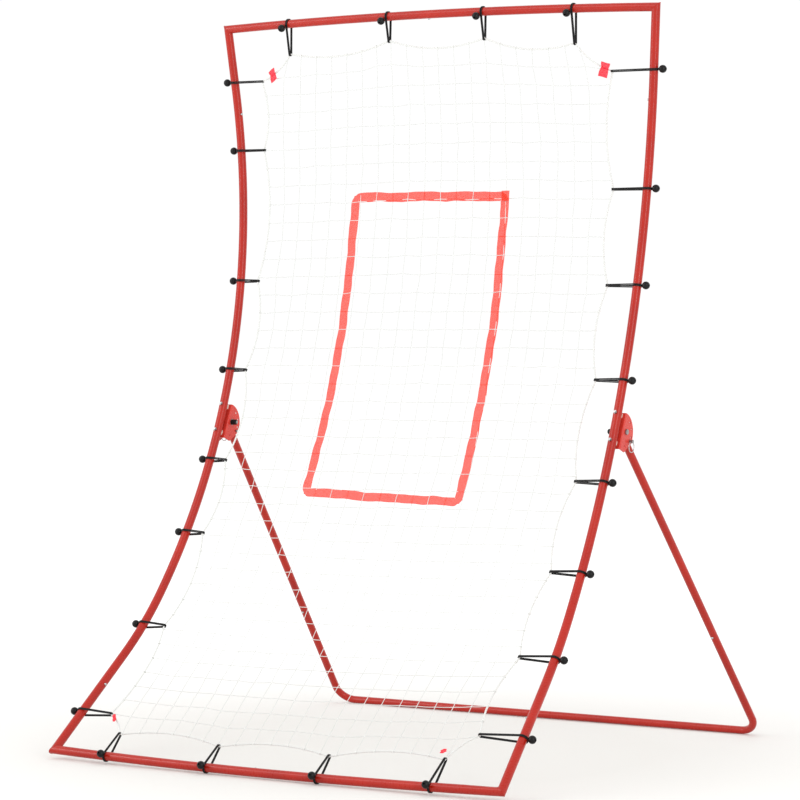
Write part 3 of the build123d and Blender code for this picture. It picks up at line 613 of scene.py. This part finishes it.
def metal(name, dark, light, roughness, scale):
    """Plated steel: cloudy zinc with fine scratches."""
    material, tree, shader = new_material(name)
    cloud = texture(tree, "ShaderNodeTexNoise", "Object", Scale=scale, Detail=6.0)
    colour = ramp(tree, cloud.outputs["Fac"], [(0.3, grey(dark)), (0.7, grey(light))])
    tree.links.new(colour.outputs["Color"], shader.inputs["Base Color"])
    rough = ramp(tree, cloud.outputs["Fac"], [(0.3, grey(roughness + 0.12)),
                                              (0.7, grey(roughness))])
    tree.links.new(rough.outputs["Color"], shader.inputs["Roughness"])
    scratch = texture(tree, "ShaderNodeTexNoise", "Object", Scale=1400.0, Detail=2.0)
    bump(tree, shader, scratch.outputs["Fac"], 0.12, 0.0002)
    shader.inputs["Metallic"].default_value = 1.0
    return material


def plastic(name, dark, light, roughness, scale, distance):
    """Moulded plastic: faint flow marks and a fine texture."""
    material, tree, shader = new_material(name)
    flow = texture(tree, "ShaderNodeTexNoise", "Object", Scale=60.0, Detail=4.0)
    colour = ramp(tree, flow.outputs["Fac"], [(0.3, linear(dark)), (0.7, linear(light))])
    tree.links.new(colour.outputs["Color"], shader.inputs["Base Color"])
    grain = texture(tree, "ShaderNodeTexNoise", "Object", Scale=scale, Detail=3.0)
    rough = ramp(tree, grain.outputs["Fac"], [(0.3, grey(roughness)),
                                              (0.7, grey(roughness + 0.15))])
    tree.links.new(rough.outputs["Color"], shader.inputs["Roughness"])
    bump(tree, shader, grain.outputs["Fac"], 0.25, distance)
    shader.inputs["Specular IOR Level"].default_value = 0.22
    return material


def braid(name, dark, light, scale):
    """The woven jacket of elastic cord: small diamonds, dull and slightly furry."""
    material, tree, shader = new_material(name)
    cells = texture(tree, "ShaderNodeTexVoronoi", "Object", Scale=scale)
    colour = ramp(tree, cells.outputs["Distance"], [(0.1, linear(light)), (0.7, linear(dark))])
    tree.links.new(colour.outputs["Color"], shader.inputs["Base Color"])
    bump(tree, shader, cells.outputs["Distance"], 0.6, 0.0006)
    shader.inputs["Roughness"].default_value = 0.62
    shader.inputs["Specular IOR Level"].default_value = 0.25
    shader.inputs["Sheen Weight"].default_value = 0.05
    return material


def twisted(name, dark, light, per_metre, turns, depth):
    """Laid yarn: slanted plies run round each strand, from its UVs, with painted shade in the
    grooves between them.
    """
    material, tree, shader = new_material(name)
    source = tree.nodes.new("ShaderNodeTexCoord")
    split = tree.nodes.new("ShaderNodeSeparateXYZ")
    tree.links.new(source.outputs["UV"], split.inputs["Vector"])
    along = tree.nodes.new("ShaderNodeMath")
    along.operation = "MULTIPLY"
    along.inputs[1].default_value = per_metre
    tree.links.new(split.outputs["Y"], along.inputs[0])
    around = tree.nodes.new("ShaderNodeMath")
    around.operation = "MULTIPLY_ADD"
    around.inputs[1].default_value = turns
    tree.links.new(split.outputs["X"], around.inputs[0])
    tree.links.new(along.outputs["Value"], around.inputs[2])
    saw = tree.nodes.new("ShaderNodeMath")
    saw.operation = "PINGPONG"
    saw.inputs[1].default_value = 0.5
    tree.links.new(around.outputs["Value"], saw.inputs[0])
    # painted shade: the yarn's colour darkens where the plies dip into their grooves
    colour = ramp(tree, saw.outputs["Value"], [(0.0, linear(dark)), (0.35, linear(light))])
    tree.links.new(colour.outputs["Color"], shader.inputs["Base Color"])
    bump(tree, shader, saw.outputs["Value"], 0.4, depth)
    shader.inputs["Roughness"].default_value = 0.5
    shader.inputs["Sheen Weight"].default_value = 0.15
    return material


def ribbon_cloth(name, dark, light, alpha):
    """Thin woven nylon ribbon that lets the ground behind it show through."""
    material, tree, shader = new_material(name)
    source = tree.nodes.new("ShaderNodeTexCoord")
    weave = tree.nodes.new("ShaderNodeTexWave")
    weave.inputs["Scale"].default_value = 420.0
    weave.inputs["Distortion"].default_value = 0.6
    tree.links.new(source.outputs["UV"], weave.inputs["Vector"])
    cloud = texture(tree, "ShaderNodeTexNoise", "Object", Scale=38.0, Detail=3.0)
    colour = ramp(tree, cloud.outputs["Fac"], [(0.3, linear(dark)), (0.7, linear(light))])
    tree.links.new(colour.outputs["Color"], shader.inputs["Base Color"])
    sheer = ramp(tree, weave.outputs["Fac"], [(0.0, grey(alpha - 0.08)),
                                              (1.0, grey(alpha + 0.08))])
    tree.links.new(sheer.outputs["Color"], shader.inputs["Alpha"])
    bump(tree, shader, weave.outputs["Fac"], 0.35, 0.0003)
    shader.inputs["Roughness"].default_value = 0.42
    shader.inputs["Specular IOR Level"].default_value = 0.2
    return material


RED_DARK = (160, 26, 12)
RED_LIGHT = (174, 33, 17)
slot_materials = {
    "frame_paint": powder_coat("red_gloss_paint", RED_DARK, RED_LIGHT, 0.25, 0.15),
    "bracket_paint": powder_coat("red_bracket_paint", (194, 48, 38), (206, 58, 46), 0.2, 0.2),
    "zinc_steel": metal("zinc_plate", 0.26, 0.42, 0.26, 90.0),
    "ring_steel": metal("bright_ring_steel", 0.42, 0.6, 0.16, 120.0),
    "spring_steel": metal("spring_steel", 0.35, 0.5, 0.3, 150.0),
    "button_steel": metal("button_steel", 0.4, 0.58, 0.18, 160.0),
    "spacer_plastic": plastic("nylon_spacer", (205, 196, 186), (226, 218, 208), 0.4, 700.0,
                              0.0003),
    "knob_plastic": plastic("black_knob", (14, 14, 15), (22, 22, 23), 0.36, 900.0, 0.0003),
    "bungee_elastic": braid("black_elastic", (5, 5, 6), (22, 22, 23), 1100.0),
    "bungee_ball": plastic("black_ball", (9, 9, 10), (16, 16, 17), 0.26, 500.0, 0.0002),
    "net_twine": twisted("white_twine", (198, 200, 197), (218, 219, 216), 420.0, 2.0, 0.0002),
    "border_rope": twisted("white_rope", (206, 208, 205), (226, 227, 224), 300.0, 2.0, 0.0003),
    "target_ribbon": ribbon_cloth("red_ribbon", (224, 44, 14), (238, 54, 26), 0.87),
    "tag_ribbon": ribbon_cloth("pink_red_ribbon", (226, 14, 42), (240, 26, 56), 0.93),
}
# knots and hitches get a smoother, paler copy of the twine; the paler colour is painted light that
# offsets the shade in their tight coils
knot_twine_painted_light = twisted("knot_twine_painted_light", (232, 234, 231), (246, 247, 244), 500.0, 2.0, 0.0001)


def paint(piece, material):
    piece.data.materials.clear()
    piece.data.materials.append(material)


for row in frame["record"]["subparts"]:
    paint(frame["nodes"][row["node"]], slot_materials[row["material_slot"]])


# --- soft pieces ------------------------------------------------------------------------------
def hang(piece, material):
    """A soft piece's material; every one of them rides on the frame."""
    paint(piece, material)
    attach(piece, "frame")


net = build_twines()
hang(net, slot_materials["net_twine"])
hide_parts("net")
# the knots and hitches wear the paler twine, painted light against their own shade
hang(build_knots(), knot_twine_painted_light)
hang(build_hitches(), knot_twine_painted_light)

rope = build_rope()
hang(rope, slot_materials["border_rope"])
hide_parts("net_border_rope")

ribbon, ribbon_length = build_ribbon()
hang(ribbon, slot_materials["target_ribbon"])
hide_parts("target_ribbon")
ribbon_end = build_ribbon_end()
hang(ribbon_end, slot_materials["target_ribbon"])

# x, station, width, height, turn and sideways slant of each tag
TAGS = {
    "tag_top_left": (-499.0, 1977.0, 22.0, 30.0, 34.0, 0.3),
    "tag_top_right": (492.0, 1955.0, 26.0, 38.0, -16.0, 0.0),
    "tag_bottom_left": (-515.0, 112.0, 10.0, 26.0, 35.0, 0.0),
    "tag_bottom_right": (444.0, 98.0, 16.0, 12.0, 20.0, 0.0),
}


TAG_COLUMNS = 13
TAG_ROWS = 17
TAG_LIFT = 8.5                # clear of the rope and the twine that it is tied to
TIE_HEIGHT = 0.12             # of the crease, as a share of the tag's height


def build_tag(name, x, station, width, height, turn, slant):
    """A short end of ribbon, creased where it is tied and curling at its corners."""
    bag = Bag()
    u, v = np.meshgrid(np.linspace(-0.5, 0.5, TAG_COLUMNS), np.linspace(-0.5, 0.5, TAG_ROWS))
    waist = 1.0 - 0.18 * np.exp(-((v - TIE_HEIGHT) / 0.16) ** 2)
    across = u * width * waist + v * height * slant
    along = v * height * 0.98
    angle = radians(turn)
    flat = np.stack([x + across * cos(angle) - along * sin(angle),
                     station + across * sin(angle) + along * cos(angle)], -1)
    crease = 1.6 * np.exp(-((v - TIE_HEIGHT) / 0.14) ** 2)
    lift = TAG_LIFT + 1.3 * np.sin(u * 2 * pi + v * 2) - crease
    add_sheet(bag, on_net(flat, lift),
              np.stack([(u + 0.5) * width * MM, (v + 0.5) * height * MM], -1))
    return bag.make(name + "_cloth")


for name, values in TAGS.items():
    tag = build_tag(name, *values)
    hang(tag, slot_materials["tag_ribbon"])
    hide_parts(name)


# --- floor, light and camera ---------------------------------------------------------------------
FLOOR_RADIUS = 60
FLOOR_Z = -0.0008             # just under the lowest elastic
FLOOR_GLOW = 0.145


def build_floor():
    """A wide pale disc, a little greyer near the object: painted shade that stands for its soft
    shadow.
    """
    material, tree, shader = new_material("pale_floor")
    painted_shade_spread = tree.nodes.new("ShaderNodeTexGradient")
    painted_shade_spread.gradient_type = "SPHERICAL"
    source = tree.nodes.new("ShaderNodeTexCoord")
    shrink = tree.nodes.new("ShaderNodeMapping")
    shrink.inputs["Scale"].default_value = (0.4, 0.4, 0.4)
    tree.links.new(source.outputs["Object"], shrink.inputs["Vector"])
    tree.links.new(shrink.outputs["Vector"], painted_shade_spread.inputs["Vector"])
    # painted shade: the floor turns greyer towards the object, as in a soft shadow under the net
    colour = ramp(tree, painted_shade_spread.outputs["Fac"], [(0.0, (0.9, 0.9, 0.9, 1.0)),
                                                (0.75, (0.62, 0.61, 0.585, 1.0))])
    tree.links.new(colour.outputs["Color"], shader.inputs["Base Color"])
    shader.inputs["Roughness"].default_value = 0.9
    shader.inputs["Specular IOR Level"].default_value = 0.1
    shader.inputs["Emission Color"].default_value = (1.0, 0.99, 0.97, 1.0)
    shader.inputs["Emission Strength"].default_value = FLOOR_GLOW
    mesh = bpy.data.meshes.new("floor")
    angles = np.arange(64) * 2 * pi / 64
    rim = [(FLOOR_RADIUS * cos(a), FLOOR_RADIUS * sin(a), FLOOR_Z) for a in angles]
    mesh.from_pydata(rim, [], [list(range(64))])
    floor = bpy.data.objects.new("floor", mesh)
    bpy.context.scene.collection.objects.link(floor)
    mesh.materials.append(material)


def placed(right, up, back, place):
    """The matrix of a thing that looks away from back."""
    matrix = Matrix.Identity(4)
    for row in range(3):
        matrix[row][0] = right[row]
        matrix[row][1] = up[row]
        matrix[row][2] = back[row]
        matrix[row][3] = place[row]
    return matrix


def area_light(name, place, target, width, height, watts):
    """A rectangular soft light that faces its target."""
    data = bpy.data.lights.new(name, "AREA")
    data.shape = "RECTANGLE"
    data.size = width
    data.size_y = height
    data.energy = watts
    light = bpy.data.objects.new(name, data)
    bpy.context.scene.collection.objects.link(light)
    way = np.array(target, float) - np.array(place, float)
    back = -way / np.linalg.norm(way)
    right = np.cross((0.0, 0.0, 1.0), back)
    right /= np.linalg.norm(right)
    up = np.cross(back, right)
    light.matrix_world = placed(right, up, back, place)


build_floor()
area_light("key", (-3.5, -5.0, 6.0), (0, 0, 0.8), 3.5, 3.5, 80.0)
area_light("fill", (5.0, -3.5, 4.0), (0, 0, 0.9), 3.5, 3.5, 40.0)
area_light("back", (-1.0, 5.5, 5.5), (0, 0, 0.9), 4.0, 4.0, 40.0)
area_light("strip_right", (6.0, -3.4, 2.4), (0, 0, 0.9), 0.5, 4.5, 85.0)
area_light("strip_left", (-4.5, -4.5, 2.6), (0, 0, 0.9), 0.5, 4.5, 75.0)

world = bpy.data.worlds.new("studio")
world.use_nodes = True
background = world.node_tree.nodes["Background"]
background.inputs["Color"].default_value = (1.0, 1.0, 1.0, 1.0)
background.inputs["Strength"].default_value = 1.02
bpy.context.scene.world = world
bpy.context.scene.view_settings.view_transform = "Standard"

CAMERA_PLACE = (4.1926, -6.8833, 1.1181)
CAMERA_YAW = 0.5509
CAMERA_PITCH = -0.02863
CAMERA_ROLL = -0.0027
CAMERA_LENS = 142.35


def build_camera():
    """A long lens from the front right, at about hip height."""
    data = bpy.data.cameras.new("camera")
    data.lens = CAMERA_LENS
    data.sensor_width = 36.0
    data.clip_end = 200.0
    camera = bpy.data.objects.new("camera", data)
    bpy.context.scene.collection.objects.link(camera)
    turn = (Matrix.Rotation(CAMERA_YAW, 3, "Z") @ Matrix.Rotation(CAMERA_PITCH, 3, "X")
            @ Matrix.Rotation(CAMERA_ROLL, 3, "Y"))
    right, forward, up = turn.col
    camera.matrix_world = placed(right, up, -forward, CAMERA_PLACE)
    bpy.context.scene.camera = camera


build_camera()
